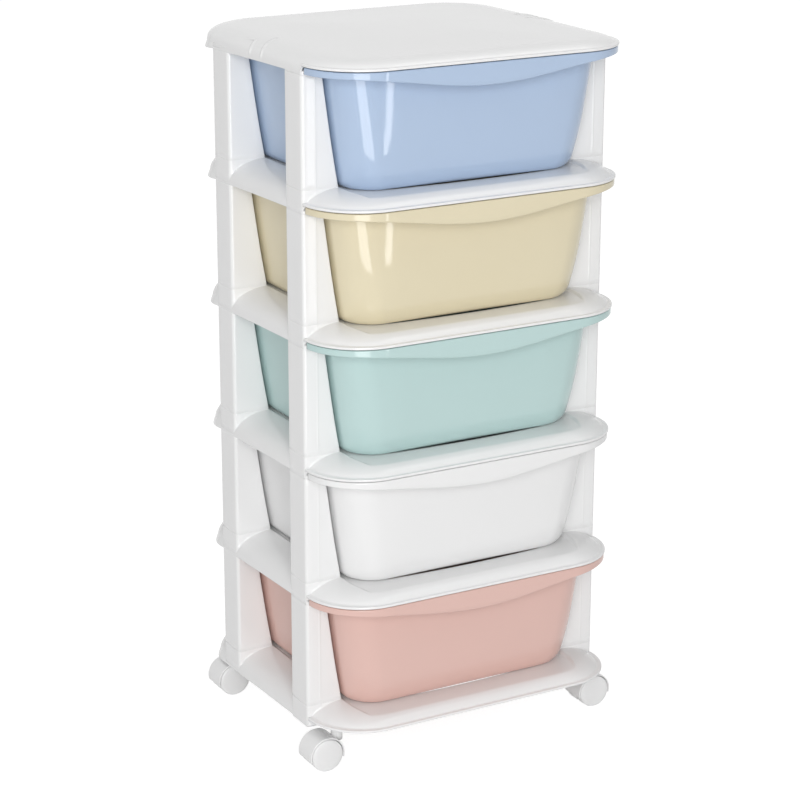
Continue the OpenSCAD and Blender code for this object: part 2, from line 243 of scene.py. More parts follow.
def make_piece(node: str, skins: list[Skin], finish: bpy.types.Material, body: str) -> bpy.types.Object:
    """Makes the moulding that stands for a CAD node, dresses it and puts it on its body.

    Args:
        node: The CAD node's name, from which the piece has its own.
        skins: Its closed surfaces, in millimetres.
        finish: Its material.
        body: The body that it rides on.
    Returns:
        The piece, at the origin.
    """
    name = f"{node}_moulding"
    start = np.cumsum([0] + [len(s.points) for s in skins])
    points = np.concatenate([s.points for s in skins]) * MM
    faces = [tuple(i + int(o) for i in f) for s, o in zip(skins, start) for f in s.faces]
    mesh = bpy.data.meshes.new(name)
    mesh.from_pydata(points.tolist(), [], faces)
    mesh.shade_smooth()
    mesh.materials.append(finish)
    mesh.update()
    piece = bpy.data.objects.new(name, mesh)
    bpy.context.scene.collection.objects.link(piece)
    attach(piece, body)
    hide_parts(node)
    LOG.info("%s: %d faces on %s", name, len(faces), body)
    return piece


# ---- Frames and top panel ----


@dataclass(frozen=True)
class PostSection:
    """Plan of the corner post at the rear right, which changes with the height in its tier.

    The inner face moves in towards the foot. The far face falls back beyond a crease with a fine
    bead, beside which its columns stand close together.
    """

    outer: float = 200.0
    near: float = 71.0
    far: float = 113.0
    edge: float = 4.0
    inner_edge: float = 1.5
    crease: float = 183.0
    crease_round: float = 0.6
    flange_drop: float = 1.2
    flange_end: float = 160.0
    ridge: float = 0.35
    ridge_w: float = 0.9
    by_crease: tuple[float, ...] = (
        190.0, 187.0, 185.2, 184.4, 183.8, 183.2, 182.6, 182.0, 181.2, 179.5, 177.0)
    quarters: Triple = (0.25, 0.5, 0.75)
    heights: Triple = (14.3, 60.3, 155.0)
    widths: Triple = (47.0, 38.5, 25.0)
    bend_round: float = 12.0

    def inner(self, z: np.ndarray) -> np.ndarray:
        """Works out where the inner face is: two slopes that meet in a soft bend.

        Args:
            z: Heights.
        Returns:
            Distances from the tower's middle.
        """
        (z0, z1, z2), (w0, w1, w2) = self.heights, self.widths
        low, high = (w0 - w1) / (z1 - z0), (w1 - w2) / (z2 - z1)
        u = z - z1
        return self.outer - w1 + high * u - (low - high) * soft_rise(-u, self.bend_round)

    def loop(self, z: np.ndarray) -> np.ndarray:
        """Makes the columns around the post: straight faces joined by quarter circles.

        Args:
            z: Heights.
        Returns:
            x and y, by height, column and axis.
        """
        xi = self.inner(np.asarray(z, float))[:, None]
        turn, small = np.linspace(0, QUARTER_TURN, 7), np.linspace(0, QUARTER_TURN, 4)
        e, i = self.edge, self.inner_edge
        side, near, far = self.outer, self.near, self.far
        share, leg = np.array(self.quarters), np.array(self.by_crease)
        slope = self.flange_drop / (self.crease - self.flange_end)
        fall = slope * soft_rise(self.crease - leg, self.crease_round)
        bead = self.ridge * np.exp(-((leg - self.crease) / self.ridge_w) ** 2)
        flange = mix(leg[-1], xi + i, np.array([0.3, 0.6, 0.9]))
        end = far - slope * (self.crease - xi - i)
        runs = (
            (xi + i - i * np.cos(small), near + i - i * np.sin(small)),
            (mix(xi + i, side - e, share), near),
            (side - e + e * np.sin(turn), near + e - e * np.cos(turn)),
            (side, mix(near + e, far - e, share)),
            (side - e + e * np.cos(turn), far - e + e * np.sin(turn)),
            (leg, far - fall + bead),
            (flange, far - slope * (self.crease - flange)),
            (xi + i - i * np.sin(small), end - i + i * np.cos(small)),
            (xi, mix(end - i, near + i, share)),
        )
        one = np.ones_like(xi)
        parts = [np.stack(np.broadcast_arrays(x * one, y * one), -1) for x, y in runs]
        return np.concatenate(parts, axis=1)

    @staticmethod
    def grown(loop: np.ndarray, amount: np.ndarray) -> np.ndarray:
        """Moves a loop outwards along its normals, which are its neighbours' chord turned.

        Args:
            loop: x and y, by row, column and axis.
            amount: How far, by row and column.
        Returns:
            The moved loop.
        """
        run = np.roll(loop, -1, 1) - np.roll(loop, 1, 1)
        run /= np.linalg.norm(run, axis=-1, keepdims=True)
        return loop + amount[..., None] * np.stack([run[..., 1], -run[..., 0]], -1)


@dataclass(frozen=True)
class Dome:
    """Domed body that the shelf frames and the top panel share.

    Its section is (1 - w)^n + u^n = 1, where w is the share of the way in from the outline to the
    crest, u the share of the way up from the base to the crest and n the fullness. The side and
    rear skirts run on below the base, and the front lip ends in a narrow flange. A pair that is
    named "from" has the start and the length of a soft step. Other sizes with several parts are:
        skirt: y, and the height of the skirt's line there.
        skirt_edge: Height above that line, and how far in.
        inner_stop: How far above that line, and above the flange's edge, the inside ends.
        flange_rows: Share of the flange's root's way in, and height above the flange's top.
        flange_edge: The same share, and height above the flange's edge.
    """

    half_w: float = 200.0
    half_d: float = 186.0
    lip_r: float = 70.0
    crest_r: float = 45.0
    side_run: float = 48.0
    front_run: float = 33.0
    crest: float = 17.0
    base: float = -9.0
    fullness: float = 2.15
    wall: float = 2.5
    band: float = 6.0
    skirt: Rows = (
        (-113.0, -8.0), (-71.0, -8.0), (10.0, -9.6), (71.0, -11.3), (113.0, -12.0), (149.0, -15.0))
    skirt_edge: Rows = ((0.4, 0.05), (0.1, 0.35), (0.0, 0.8), (0.0, 1.4), (0.0, 2.0))
    skirt_stop: float = 0.7
    inner_stop: Pair = (0.4, 2.0)
    edge: float = 1.1
    flange_top: float = 4.0
    flange_root: float = 0.85
    flange_rows: Rows = (
        (0.86, 0.55), (0.73, 0.3), (0.58, 0.15), (0.35, 0.08), (0.15, 0.0), (0.05, -0.2),
        (0.0, -0.7))
    flange_edge: Rows = ((0.0, 0.5), (0.05, 0.15), (0.15, 0.0), (0.46, 0.0))
    blend_from: Pair = (-113.5, 4.0)
    flare: float = 2.2
    flare_from: Pair = (60.0, 60.0)
    flare_h: float = 9.0
    proud: float = 0.25
    proud_from: Pair = (20.0, 40.0)
    wall_h: float = 4.0
    base_wall_top: float = 1.4
    wall_inset: float = 0.12

    def share(self, z: Amount) -> np.ndarray:
        """Returns the share of the way in at a height."""
        u = np.clip((z - self.base) / (self.crest - self.base), 0.0, 1.0)
        return 1 - (1 - u**self.fullness) ** (1 / self.fullness)

    def height(self, w: np.ndarray) -> np.ndarray:
        """Returns the height at a share of the way in."""
        up = (1 - (1 - np.clip(w, 0.0, 1.0)) ** self.fullness) ** (1 / self.fullness)
        return self.base + (self.crest - self.base) * up

    def lean(self, z: np.ndarray) -> np.ndarray:
        """Works out the section's normal from the gradient of its formula.

        Args:
            z: Heights.
        Returns:
            Angles above the horizon.
        """
        u = np.clip((z - self.base) / (self.crest - self.base), 0.0, 1.0)
        run = (self.side_run + self.front_run) / 2
        power = self.fullness - 1
        return np.arctan2(u**power * run, (1 - self.share(z)) ** power * (self.crest - self.base))

    def place(self, o: Outline, w: np.ndarray, z: np.ndarray, inset: np.ndarray) -> np.ndarray:
        """Puts the columns on the rings at shares of the way in.

        Args:
            o: The columns.
            w: Shares, by row and column.
            z: Heights.
            inset: How far in along the columns' own normals.
        Returns:
            Points by row, column and axis.
        """
        r = mix(self.lip_r, self.crest_r, w)
        x = o.sx * (self.half_w - self.side_run * w - r) + o.dx * (r - inset)
        y = o.sy * (self.half_d - self.front_run * w - r) + o.dy * (r - inset)
        return grid_of(x, y, z)

    def ring(self, o: Outline, inner: Triple, k: np.ndarray) -> tuple[np.ndarray, np.ndarray]:
        """Puts the columns on rings between the crest and an outline inside it.

        Args:
            o: The columns.
            inner: The inner outline's half width, half depth and radius.
            k: Each row's share of the way in.
        Returns:
            x and y, by row and column.
        """
        crest = (self.half_w - self.side_run, self.half_d - self.front_run, self.crest_r)
        return o.at(*(mix(a, b, k) for a, b in zip(crest, inner)))

    def share_in(self, x: np.ndarray, y: np.ndarray) -> np.ndarray:
        """Finds the ring that passes through each point near a side, by bisection.

        Args:
            x: Distances from the middle, towards a side.
            y: Distances towards the rear.
        Returns:
            The rings' shares of the way in.
        """
        low, high = np.zeros_like(x), np.ones_like(x)
        for _ in range(30):
            w = (low + high) / 2
            r = mix(self.lip_r, self.crest_r, w)
            dx = x - (self.half_w - self.side_run * w - r)
            dy = np.maximum(y - (self.half_d - self.front_run * w - r), 0)
            outside = np.hypot(dx, dy) > r
            low, high = np.where(outside, low, w), np.where(outside, w, high)
        return (low + high) / 2

    def levels(self, rows: int) -> np.ndarray:
        """Spaces heights evenly in the section's angle a: base + rise sin(a)^(2 / n).

        Args:
            rows: Number of heights.
        Returns:
            Heights from the crest down to the band, as a column.
        """
        rise = self.crest - self.base
        start = math.asin(((self.band - self.base) / rise) ** (self.fullness / 2))
        a = np.linspace(QUARTER_TURN, start, rows)[:, None]
        return self.base + rise * np.sin(a) ** (2 / self.fullness)

    def set_in(self, o: Outline, y: np.ndarray, w: np.ndarray, above: np.ndarray) -> np.ndarray:
        """Works out the rear's flare, which sets the dome in above the skirt, and the sides' swell.

        Args:
            o: The columns.
            y: Their places on the outline.
            w: Shares of the way in.
            above: Heights above the skirt's line.
        Returns:
            How far in, less than 0 where the skirt stands proud.
        """
        up = ramp(above, 0.0, self.flare_h)
        side = ramp(y, *self.proud_from) * o.dx**2
        rear = ramp(y, *self.flare_from)
        return self.flare * rear * (up * (1 - w)) - self.proud * side * (1 - up)

    def shoulder(self, o: Outline, steps: int) -> tuple[np.ndarray, np.ndarray]:
        """Makes the rows from the crest down the outside and up the inside.

        Below the band a column follows the side's section, down to its skirt's edge, or the
        front's, out along the flange and around its edge; the two blend behind the front posts.

        Args:
            o: The columns.
            steps: Rows on the dome.
        Returns:
            The outer rows, from the crest to the lower edge, and the inner rows back to the crest.
        """
        y = o.sy * (self.half_d - self.lip_r) + o.dy * self.lip_r
        front = (1 - ramp(y, *self.blend_from))[None]
        skirt = np.interp(y, *np.array(self.skirt).T)[None]
        dome = self.levels(steps) + 0 * skirt
        down = np.linspace(0, 1, 12)[1:, None]
        edge_up, edge_in = np.array(self.skirt_edge).T[..., None]
        side_z = np.concatenate([mix(self.band, skirt + self.skirt_stop, down), skirt + edge_up])
        side_in = np.concatenate([0 * down, edge_in])
        root = self.flange_top + self.flange_root
        fall = np.linspace(self.band, root, 6)[1:]
        flange, lip = np.array(self.flange_rows), np.array(self.flange_edge)
        front_z = np.concatenate([fall, self.flange_top + flange[:, 1], self.edge + lip[:, 1]])
        out = self.share(root) * np.concatenate([flange[:, 0], lip[:, 0]])
        front_w = np.concatenate([self.share(fall), out])
        z = np.concatenate([dome, mix(side_z, front_z[:, None], front)])
        w = np.concatenate([self.share(dome), mix(self.share(side_z), front_w[:, None], front)])
        inset = np.concatenate([0 * dome, side_in * (1 - front)])
        outer = self.place(o, w, z, inset + self.set_in(o, y, w, z - skirt))
        above_skirt, above_edge = self.inner_stop
        low = mix(skirt + above_skirt, self.edge + above_edge, front)
        back = (self.levels(steps // 3) + 0 * skirt)[-2::-1]
        z = np.concatenate([mix(low, self.band, np.linspace(0, 1, 7)[:, None]), back])
        lean, w = self.lean(z), self.share(z)
        inset = self.wall * np.cos(lean) + self.set_in(o, y, w, z - skirt)
        return outer, self.place(o, w, z - self.wall * np.sin(lean), inset)

    @staticmethod
    def normals(o: Outline, lean: np.ndarray) -> np.ndarray:
        """Tilts the columns' normals: (dx cos a, dy cos a, sin a).

        Args:
            o: The columns.
            lean: Angles a above the horizon, by row or by row and column.
        Returns:
            Unit normals by row, column and axis.
        """
        lean = lean.reshape(len(lean), -1)
        return grid_of(o.dx * np.cos(lean), o.dy * np.cos(lean), np.sin(lean) + 0 * o.dx)

    def post_wall(self, section: PostSection, is_base: bool) -> Skin:
        """Makes the block inside the dome that carries on a post's outline down to the dome's base.

        Args:
            section: The post's plan.
            is_base: True under the base's feet; otherwise it is the end of the post below.
        Returns:
            The block of the rear right post.
        """
        top = self.base_wall_top if is_base else self.base + self.wall_h
        z = mix(self.base, top, np.linspace(0, 1, 5))
        loop = section.loop(z if is_base else z + TIER_PITCH)
        loop = section.grown(loop, np.full(loop.shape[:2], -self.wall_inset))
        return Skin.from_grid(upright(loop, z))


def dome_columns(dense: bool) -> Outline:
    """Makes the columns around a dome, closer together at the sides' ends and at the ribs.

    Args:
        dense: True for the top panel, which has the ribs.
    Returns:
        The columns.
    """
    inner = np.linspace(-0.22, 0.36, 76) if dense else np.linspace(-0.3, 0.3, 7)
    outer = np.concatenate([np.linspace(0.4, 0.88, 7), np.linspace(0.9, 0.995, 12)])
    side = np.concatenate([-outer[::-1], inner, outer])
    return Outline.around(56, np.linspace(-0.98, 0.98, 41), side)


@dataclass(frozen=True)
class ShelfFrame:
    """Ring frame with a flat floor for the drawer above it and feet for four posts.

    The floor lies in a channel whose low walls pinch in at the front and rear. Sizes with several
    parts are:
        opening: Half width, half depth and radius.
        floor_rows: Shares of the way from the crest to the opening.
        floor_edge: How far the two rows at the opening fall.
        rim_lean: Each row's lean at the opening, in half turns.
        foot_bevel: Height and depth.
        foot_straight: How far below the foot's top its straight part starts, at least, and ends.
        fillet_end: Where the fillet has faded out, and over what run.
        boss_rows: How much wider than the boss's radius, and how high above the dome's base.
    """

    finish: bpy.types.Material
    dome: Dome = Dome()
    section: PostSection = PostSection()
    floor: float = 14.0
    channel_hx: float = 150.5
    channel_slope: float = 1.7
    channel_round: float = 0.45
    channel_pinch: float = 7.5
    pinch_from: Pair = (128.0, 46.0)
    crease_round: float = 0.35
    opening: Triple = (122.0, 141.0, 24.0)
    base_opening: Triple = (122.0, 138.0, 24.0)
    opening_bow: float = 6.0
    floor_rows: tuple[float, ...] = (
        1, 0.995, 0.98, 0.95, 0.88, 0.7, 0.5, 0.3, 0.2, 0.15, 0.12, 0.1, 0.085, 0.07, 0.055, 0.04,
        0.025, 0.012)
    floor_edge: Pair = (0.8, 0.25)
    rim: float = 5.0
    rim_lean: tuple[float, ...] = (1.0, 1.0, 1.0, 0.78, 0.6)
    foot_top: float = 17.5
    foot_bevel: Pair = (0.25, 0.1)
    foot_straight: Pair = (0.4, 0.3)
    foot_root: float = 2.5
    foot_least: float = 0.05
    fillet: float = 3.0
    fillet_sink: float = 0.15
    fillet_share: float = 0.8
    fillet_end: Pair = (197.0, 5.0)
    boss_r: float = 7.0
    boss_rows: Rows = ((-0.5, 0.0), (-0.15, 0.15), (0.0, 0.5), (0.0, 6.0), (0.0, 13.0))

    def channel(self, x: np.ndarray, y: np.ndarray) -> np.ndarray:
        """Returns the height of the floor and of the low walls beside it."""
        half = self.channel_hx - ramp(np.abs(y), *self.pinch_from) * self.channel_pinch
        return self.floor + self.channel_slope * soft_rise(np.abs(x) - half, self.channel_round)

    def body(self, opening: Triple) -> Skin:
        """Makes the ring around an opening: its dome, floor and rim as one closed sheet.

        Args:
            opening: The opening's sizes.
        Returns:
            The ring.
        """
        d, o = self.dome, dome_columns(False)
        outer, inner = d.shoulder(o, 36)
        k = np.array(self.floor_rows)
        hx, hy, _ = opening
        x, y = d.ring(o, opening, k)
        y = y - np.sign(y) * self.opening_bow * (x / hx) ** 2 * k[:, None] * np.abs(y) / hy
        top = grid_of(x, y, soft_lower(self.channel(x, y), d.crest, self.crease_round))
        top[:2, :, 2] = self.floor - column(*self.floor_edge)
        rim = np.repeat(top[:1], 3, 0)
        rim[..., 2] = column(self.rim + d.wall / 2, self.rim + 4, self.floor - 2)
        lean = math.pi * np.array([*self.rim_lean, *[0.5] * (len(k) - 2)])
        sheet = np.concatenate([rim, top])[::-1]
        rest = thicken(sheet, d.normals(o, lean)[::-1], d.wall)[::-1]
        for rows, drop in ((outer, 0.0), (inner, d.wall)):
            level = self.channel(rows[..., 0], rows[..., 1]) - drop
            rows[..., 2] = soft_lower(rows[..., 2], level, self.crease_round)
        return Skin.from_grid(np.concatenate([outer, inner, rest]), ring=True)

    def foot(self) -> Skin:
        """Makes a post's foot, which rises from the dome with a small fillet around it.

        The fillet is a quarter circle, the smaller the lower the foot is above the dome there.

        Returns:
            The rear right foot.
        """
        d, top = self.dome, self.foot_top
        plan = self.section.loop(np.array([top]))[0]
        x = plan[:, 0]
        h = d.height(d.share_in(np.minimum(x, d.half_w), plan[:, 1]))
        (end, run), (bevel_h, bevel_in) = self.fillet_end, self.foot_bevel
        reach = self.fillet_share * np.maximum(top - h, self.foot_least)
        radius = np.minimum(self.fillet, reach) * ease((end - x) / run)
        start_drop, stop_drop = self.foot_straight
        low = np.minimum(h, top - start_drop)
        turn = np.linspace(0, QUARTER_TURN, 7)[:, None]
        curve = np.maximum(low - self.fillet_sink + radius * (1 - np.cos(turn)), d.base)
        root = np.maximum(low - self.foot_root, d.base)[None]
        straight = mix(curve[-1], top - stop_drop, column(0.3, 0.6, 0.88))
        z = np.concatenate([root, curve, straight, 0 * h + column(top - bevel_h, top)])
        plain = 0 * h + column(0.0, 0.0, 0.0, 0.0, -bevel_in)
        amount = np.concatenate([radius[None], radius * (1 - np.sin(turn)), plain])
        loop = self.section.grown(np.repeat(plan[None], len(z), 0), amount)
        inner = self.section.inner(np.array([top]))
        weight = np.clip((d.half_w - x) / (d.half_w - inner), 0, 1)
        loop[..., 0] += (self.section.inner(z) - inner) * weight
        loop[..., 0] = np.minimum(loop[..., 0], d.half_w)
        return Skin.from_grid(upright(loop, z))

    def boss(self) -> Skin:
        """Returns the round boss that holds a caster's stem, a profile turned about it."""
        r, z = np.array(self.boss_rows).T
        return Skin.from_grid(lathe(self.boss_r + r, self.dome.base + z, STEM_AT))

    def build(self) -> list[bpy.types.Object]:
        """Makes the base frame and the four shelf frames.

        Returns:
            The five pieces, from the base up.
        """
        foot, boss = self.foot(), self.boss()
        bodies = {True: self.body(self.base_opening), False: self.body(self.opening)}
        walls = {is_base: self.dome.post_wall(self.section, is_base) for is_base in (True, False)}
        pieces = []
        for tier in range(1, TIERS + 1):
            is_base = tier == 1
            corner = [foot, walls[is_base]] + ([boss] if is_base else [])
            skins = [s.mirrored(x, y) for x, y in CORNERS.values() for s in corner]
            skins = [s.moved((0, 0, foot_level(tier))) for s in [bodies[is_base], *skins]]
            node = "base_frame" if is_base else f"shelf_frame_{tier - 1}"
            pieces.append(make_piece(node, skins, self.finish, TOWER_BODY))
        return pieces


@dataclass(frozen=True)
class TopPanel:
    """Closed, slightly crowned cover with two short raised ribs over each side's shoulder.

    Sizes with several parts are:
        middle: Half width, half depth and radius of the innermost row.
        ribs: Each rib's line, as x and y on the right side.
    """

    finish: bpy.types.Material
    dome: Dome = Dome(crest=11.5, fullness=3.0)
    section: PostSection = PostSection()
    middle: Triple = (1.0, 1.0, 0.5)
    crown: float = 2.0
    crown_reach: float = 1.15
    crown_power: float = 1.5
    rib_h: float = 1.2
    rib_w: float = 1.5
    rib_sharpness: float = 1.6
    rib_from: Pair = (160.0, 10.0)
    rib_foot_from: Pair = (-7.0, 5.0)
    ribs: tuple[Rows, ...] = (
        ((160.0, 38.0), (168.6, 35.3), (175.0, 33.0), (180.9, 29.1), (187.8, 23.9), (192.4, 19.8),
         (195.9, 16.8), (199.5, 13.5)),
        ((160.0, 12.0), (167.9, 8.8), (174.7, 5.6), (180.4, 2.1), (186.4, -2.6), (190.5, -6.2),
         (194.7, -10.2), (199.0, -14.5)),
    )

    def raised(self, x: np.ndarray, y: np.ndarray) -> np.ndarray:
        """Works out how far the ribs stand up: h exp(-s (d / w)^2) at a distance d from a line.

        Args:
            x: Places across the panel.
            y: Places along it.
        Returns:
            Heights above the dome.
        """
        x = np.abs(x)
        total = np.zeros_like(x)
        for line in self.ribs:
            p = np.array(line)
            nearest = np.full(x.shape, np.inf)
            for a, b in zip(p[:-1], p[1:]):
                run = b - a
                dx, dy = x - a[0], y - a[1]
                t = np.clip((dx * run[0] + dy * run[1]) / (run @ run), 0, 1)
                nearest = np.minimum(nearest, np.hypot(dx - t * run[0], dy - t * run[1]))
            total += self.rib_h * np.exp(-((nearest / self.rib_w) ** 2) * self.rib_sharpness)
        return total * ramp(x, *self.rib_from)

    def build(self) -> bpy.types.Object:
        """Makes the panel: dome, crown and ribs as one closed sheet.

        Returns:
            The piece.
        """
        d, o = self.dome, dome_columns(True)
        outer, inner = d.shoulder(o, 44)
        k = np.linspace(0.02, 1, 26)[-2::-1]
        rise = 1 - (1 - ease(k * self.crown_reach)) ** self.crown_power
        crown = grid_of(*d.ring(o, self.middle, k), d.crest + self.crown * rise[:, None])
        lean = np.concatenate([np.full(crown.shape[:2], QUARTER_TURN), d.lean(outer[..., 2])])
        grid = np.concatenate([crown, outer])
        x, y, z = np.moveaxis(grid, -1, 0)
        lift = self.raised(x, y) * ramp(z, *self.rib_foot_from)
        grid = grid + d.normals(o, lean) * lift[..., None]
        under = (crown - (0, 0, d.wall))[::-1]
        skins = [Skin.from_grid(np.concatenate([grid, inner, under]))]
        wall = d.post_wall(self.section, is_base=False)
        skins += [wall.mirrored(sx, sy) for sx, sy in CORNERS.values()]
        skins = [s.moved((0, 0, foot_level(TIERS + 1))) for s in skins]
        return make_piece("top_panel", skins, self.finish, TOWER_BODY)


@dataclass(frozen=True)
class CornerPosts:
    """Twenty tapered posts, four to a tier."""

    finish: bpy.types.Material
    section: PostSection = PostSection()
    low: float = 17.5
    high: float = 146.0
    rows_between: Pair = (24.0, 140.0)
    chamfer: float = 0.1

    def build(self) -> list[bpy.types.Object]:
        """Makes every post with a fine chamfer at both ends.

        Returns:
            The posts.
        """
        c = self.chamfer
        between = np.linspace(*self.rows_between, 20)
        z = np.array([self.low, self.low + c, *between, self.high - c, self.high])
        loop = self.section.loop(z)
        amount = np.zeros(loop.shape[:2])
        amount[[0, -1]] = -c
        skin = Skin.from_grid(upright(self.section.grown(loop, amount), z))
        pieces = []
        for tier in range(1, TIERS + 1):
            for corner, (x, y) in CORNERS.items():
                skins = [skin.mirrored(x, y).moved((0, 0, foot_level(tier)))]
                node = f"post_{tier}_{corner}"
                pieces.append(make_piece(node, skins, self.finish, TOWER_BODY))
        return pieces


# ---- Drawers ----


class DrawerColour(Enum):
    """The drawers from the lowest tier up."""

    PINK = "pink"
    WHITE = "white"
    TEAL = "teal"
    YELLOW = "yellow"
    BLUE = "blue"


@dataclass(frozen=True)
class Drawer:
    """Tapered tub whose rim turns out and down at the front, into a lip with a deeper middle.

    Sizes with several parts are:
        widths, depths: Half sizes at the bottom, the bend and the rim.
        bead: How far out, and how far below the rim.
        lip: Half width, half depth and radius.
        lip_root_in: How far in the lip's first two rows are, less than 0 for out.
        lip_edge_round: Height and depth.
    """

    colour: DrawerColour
    finish: bpy.types.Material
    bottom: float = 14.3
    rim: float = 155.0
    wall: float = 2.0
    corner_r: float = 38.0
    edge: float = 9.0
    edge_front: float = 22.0
    widths: Triple = (149.0, 157.5, 171.0)
    depths: Triple = (145.0, 154.0, 158.0)
    bend: float = 60.3
    bend_rounds: Pair = (10.0, 12.0)
    face_top: float = 151.0
    bead: Rows = (
        (0.1, 3.0), (0.6, 2.4), (0.9, 1.9), (0.9, 1.0), (0.6, 0.3), (0.1, 0.0), (-1.2, 0.0),
        (-1.8, 0.2), (-2.0, 0.8))
    wing_y: float = -118.0
    lip: Triple = (199.0, 185.0, 69.0)
    lip_root: float = 152.4
    lip_root_in: Pair = (-0.3, -1.5)
    lip_round: float = 1.0
    lip_inner_round: float = 0.8
    lip_edge_round: Pair = (0.3, 0.25)
    inside_round: float = 0.6
    skirt_end: float = 7.5
    skirt_middle: float = 25.0
    skirt_half: float = 185.0
    bow_from: float = 92.0
    bow_to: float = 127.0
    bow_end: float = 145.0
    bow_slope: float = 0.09

    def half(self, z: np.ndarray, sizes: Triple, soft: float) -> np.ndarray:
        """Works out a half size: two slopes that meet in a soft bend.

        Args:
            z: Heights.
            sizes: The half sizes at the bottom, the bend and the rim.
            soft: How far the bend is rounded.
        Returns:
            The half size at each height.
        """
        low = (sizes[1] - sizes[0]) / (self.bend - self.bottom)
        high = (sizes[2] - sizes[1]) / (self.rim - self.bend)
        u = z - self.bend
        return sizes[1] + high * u - (low - high) * soft_rise(-u, soft)

    def bowed(self, x: np.ndarray) -> np.ndarray:
        """Works out how far the front falls back beside its flat middle.

        The slope rises evenly from nothing to its most and falls evenly to nothing at the corner.

        Args:
            x: Places across the front.
        Returns:
            Distances back.
        """
        a, b, c = self.bow_from, self.bow_to, self.bow_end
        across = np.clip(np.abs(x), a, c)
        rise = np.minimum(across, b) - a
        fall = np.maximum(across - b, 0)
        return self.bow_slope * (rise**2 / (2 * (b - a)) + fall - fall**2 / (2 * (c - b)))

    def on_tub(self, o: Outline, z: np.ndarray, inset: np.ndarray) -> np.ndarray:
        """Puts the columns on the tub's outside.

        Args:
            o: The columns.
            z: Heights, by row and column.
            inset: How far in.
        Returns:
            Points by row, column and axis.
        """
        (soft_w, soft_d), r = self.bend_rounds, self.corner_r
        hx, hy = self.half(z, self.widths, soft_w), self.half(z, self.depths, soft_d)
        x = o.sx * (hx - r) + o.dx * (r - inset)
        is_front = o.sy < TINY - 1
        back = np.where(is_front, self.bowed(x), 0.0)
        return grid_of(x, o.sy * (hy - r) + o.dy * (r - inset) + back, z)

    def on_lip(self, o: Outline, z: np.ndarray, inset: np.ndarray) -> np.ndarray:
        """Puts the columns on the lip's outline, up to its ends.

        Args:
            o: The columns.
            z: Heights, by row and column.
            inset: How far in.
        Returns:
            Points by row, column and axis.
        """
        hx, hy, r = self.lip
        y = np.minimum(o.sy * (hy - r) + o.dy * (r - inset), self.wing_y)
        return grid_of(o.sx * (hx - r) + o.dx * (r - inset), y, z)

    def tub_rows(self, o: Outline, inner: bool) -> np.ndarray:
        """Makes the rows of one side of the tub, from the bottom's middle to just below the rim.

        Args:
            o: The columns.
            inner: True for the inside, one wall in.
        Returns:
            Points by row, column and axis.
        """
        wall = self.wall if inner else 0.0
        share = np.linspace(0.03, 1, 9)[:-1, None, None]
        turn = np.linspace(0, QUARTER_TURN, 7 if inner else 13)[:, None]
        reach = self.edge + (self.edge_front - self.edge) * o.dy**2
        z = self.bottom + wall + (reach - wall) * (1 - np.cos(turn))
        rounding = self.on_tub(o, z, wall + (self.edge - wall) * (1 - np.sin(turn)))
        flat = rounding[:1] * np.array([1, 1, 0]) * share + np.array([0, 0, self.bottom + wall])
        up = np.linspace(0, 1, 13 if inner else 30)[1:, None]
        face = self.on_tub(o, mix(self.bottom + reach, self.face_top, up), column(wall))
        return np.concatenate([flat, rounding, face])

    def lip_rows(self, o: Outline) -> np.ndarray:
        """Makes the lip's rows: out under the rim, down the skirt's back, up its face and back.

        The skirt's lower line drops with the squared cosine of the distance from the middle.

        Args:
            o: The columns.
        Returns:
            Points by row, column and axis.
        """
        rim, wall = self.rim, self.wall
        under_rim = rim - wall
        across = np.abs(self.on_lip(o, column(0.0), column(0.0))[0, :, 0])
        bow = np.cos(QUARTER_TURN * np.clip(across / self.skirt_half, 0, 1)) ** 2
        low = (rim - mix(self.skirt_end, self.skirt_middle, bow))[None]
        root = self.on_tub(o, column(self.lip_root, under_rim), column(*self.lip_root_in))
        turned_down = under_rim - self.lip_inner_round
        corner = self.on_lip(o, column(under_rim - 0.15, turned_down), column(wall + 0.6, wall))
        under = mix(root[-1:], corner[:1], column(0.3, 0.6, 0.9)[..., None])
        under[..., 2] = under_rim
        skirt_low = low + self.lip_inner_round
        back = self.on_lip(o, mix(turned_down, skirt_low, column(0.33, 0.66, 1.0)), column(wall))
        up, aside = self.lip_edge_round
        edge = self.on_lip(o, low + column(up, 0.0, up), column(wall - aside, wall / 2, aside))
        top = rim - self.lip_round
        face = self.on_lip(o, mix(skirt_low, top, np.linspace(0, 1, 6)[:, None]), column(0.0))
        turn = np.radians(column(22.5, 45.0, 67.5, 90.0))
        inset = self.lip_round * (1 - np.cos(turn))
        crown = self.on_lip(o, top + self.lip_round * np.sin(turn), inset)
        r = self.inside_round
        inside = self.on_tub(o, column(rim, rim - r), column(wall - r, wall))
        flat = mix(crown[-1:], inside[:1], column(0.1, 0.5)[..., None])
        return np.concatenate([root, under, corner, back, edge, face, crown, flat, inside])

    def plain_rim(self, o: Outline, rows: int) -> np.ndarray:
        """Makes the rim of the sides and rear, a small bead.

        Args:
            o: The columns.
            rows: Number of rows, over which the bead's own are spread.
        Returns:
            Points by row, column and axis.
        """
        known, t = np.linspace(0, 1, len(self.bead)), np.linspace(0, 1, rows)
        out, below = (np.interp(t, known, v)[:, None] for v in np.array(self.bead).T)
        return self.on_tub(o, self.rim - below, -out)

